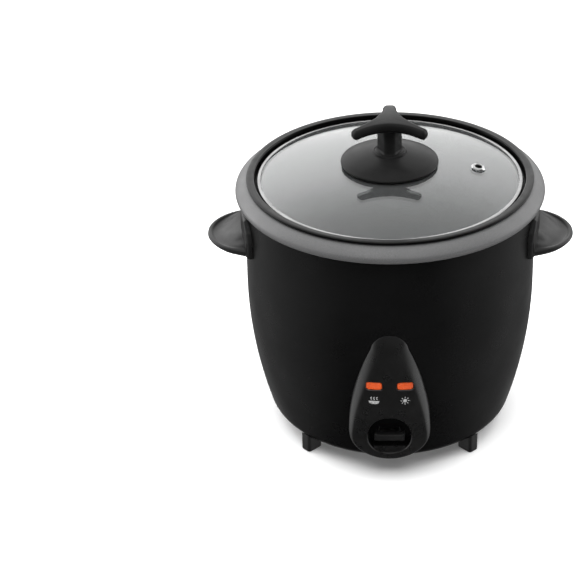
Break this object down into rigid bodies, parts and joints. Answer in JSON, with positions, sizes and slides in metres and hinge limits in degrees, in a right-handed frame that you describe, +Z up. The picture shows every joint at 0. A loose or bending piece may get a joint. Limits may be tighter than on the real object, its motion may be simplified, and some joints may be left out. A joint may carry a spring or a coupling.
{
  "type": "rice cooker",
  "caption": "Small one-switch electric rice cooker with lift-out pot, glass lid, side handles, two lamps and a press-down lever.",
  "frame": {"origin": "on the cooker's vertical axis, at the level its feet stand on", "axes": "+Z up along the pot's axis, -Y towards the control panel, +X towards the handle on the panel's right"},
  "size_m": [0.239, 0.2, 0.218],
  "materials": {
    "shell_paint": "satin",
    "ring_metal": "satin",
    "liner_metal": "satin",
    "zinc_steel": "satin",
    "black_plastic": "satin",
    "panel_plastic": "gloss",
    "rubber_black": "matte",
    "lens_amber": "gloss",
    "print_white": "matte",
    "carrier_plastic": "matte",
    "lamp_glass": "clear",
    "cast_aluminium": "cast",
    "element_sheath": "oxidised",
    "ferrite_grey": "matte",
    "spring_steel": "bright",
    "mica_band": "matte",
    "ceramic_white": "matte",
    "brass_pins": "bright",
    "pot_metal": "anodised",
    "lid_glass": "clear",
    "lid_steel": "polished",
    "button_red": "gloss"
  },
  "bodies": {
    "root": {"outer_shell": "shell_paint", "top_ring": "ring_metal", "inner_liner": "liner_metal", "base_plate": "zinc_steel", "feet": "rubber_black", "base_brackets": "zinc_steel", "base_screws": "zinc_steel", "handle_left": "black_plastic", "handle_right": "black_plastic", "handle_screws": "zinc_steel", "front_panel": "panel_plastic", "panel_screws": "zinc_steel", "lens_cook": "lens_amber", "lens_warm": "lens_amber", "panel_marks": "print_white", "lamp_carrier": "carrier_plastic", "indicator_lamps": "lamp_glass", "lever_bracket": "zinc_steel", "bracket_screws": "zinc_steel", "lever_pin": "spring_steel", "microswitch": "black_plastic", "heating_plate": "cast_aluminium", "heating_element": "element_sheath", "plate_supports": "zinc_steel", "plate_screws": "zinc_steel", "thermostat_housing": "liner_metal", "thermostat_screws": "zinc_steel", "keep_warm_heater": "mica_band", "thermal_fuse": "ceramic_white", "fuse_clip": "zinc_steel", "terminal_block": "ceramic_white", "inlet_socket": "black_plastic", "inlet_pins": "brass_pins", "inlet_screws": "zinc_steel", "cap_spring": "spring_steel"},
    "lever": {"switch_lever": "zinc_steel", "lever_tab": "black_plastic"},
    "button": {"microswitch_button": "button_red"},
    "cap": {"thermostat_cap": "liner_metal", "thermostat_ferrite": "ferrite_grey", "release_spring": "spring_steel"},
    "magnet": {"thermostat_magnet": "ferrite_grey", "magnet_rod": "spring_steel"},
    "pot": {"inner_pot": "pot_metal"},
    "lid": {"lid_glass": "lid_glass", "lid_rim": "lid_steel", "steam_vent": "lid_steel", "knob_gasket": "rubber_black", "knob_screw": "lid_steel", "knob_base": "black_plastic", "knob_grip": "black_plastic"}
  },
  "joints": [
    {"name": "lever_press", "type": "hinge", "parent": "root", "child": "lever", "pos_m": [0, -0.046, 0.0372], "axis": [1, 0, 0], "range_deg": [0, 6.5], "stiffness_Nm_per_rad": 0.6, "springref_deg": -8.59},
    {"name": "magnet_lift", "type": "slide", "parent": "root", "child": "magnet", "axis": [0, 0, 1], "range_m": [0, 0.00525], "deforming": ["release_spring"]},
    {"name": "button_press", "type": "slide", "parent": "root", "child": "button", "axis": [0, 0, 1], "range_m": [0, 0.0014]},
    {"name": "cap_press", "type": "slide", "parent": "root", "child": "cap", "axis": [0, 0, 1], "range_m": [-0.002, 0], "stiffness_N_per_m": 400, "springref_m": 0.004, "deforming": ["cap_spring"]},
    {"name": "pot_lift", "type": "slide", "parent": "root", "child": "pot", "axis": [0, 0, 1], "range_m": [0, 0.16]},
    {"name": "lid_lift", "type": "slide", "parent": "pot", "child": "lid", "axis": [0, 0, 1], "range_m": [0, 0.1]}
  ],
  "couplings": [
    {"joint": "magnet_lift", "follows": "lever_press", "m_per_rad": 0.046},
    {"joint": "button_press", "follows": "lever_press", "m_per_rad": 0.012}
  ]
}
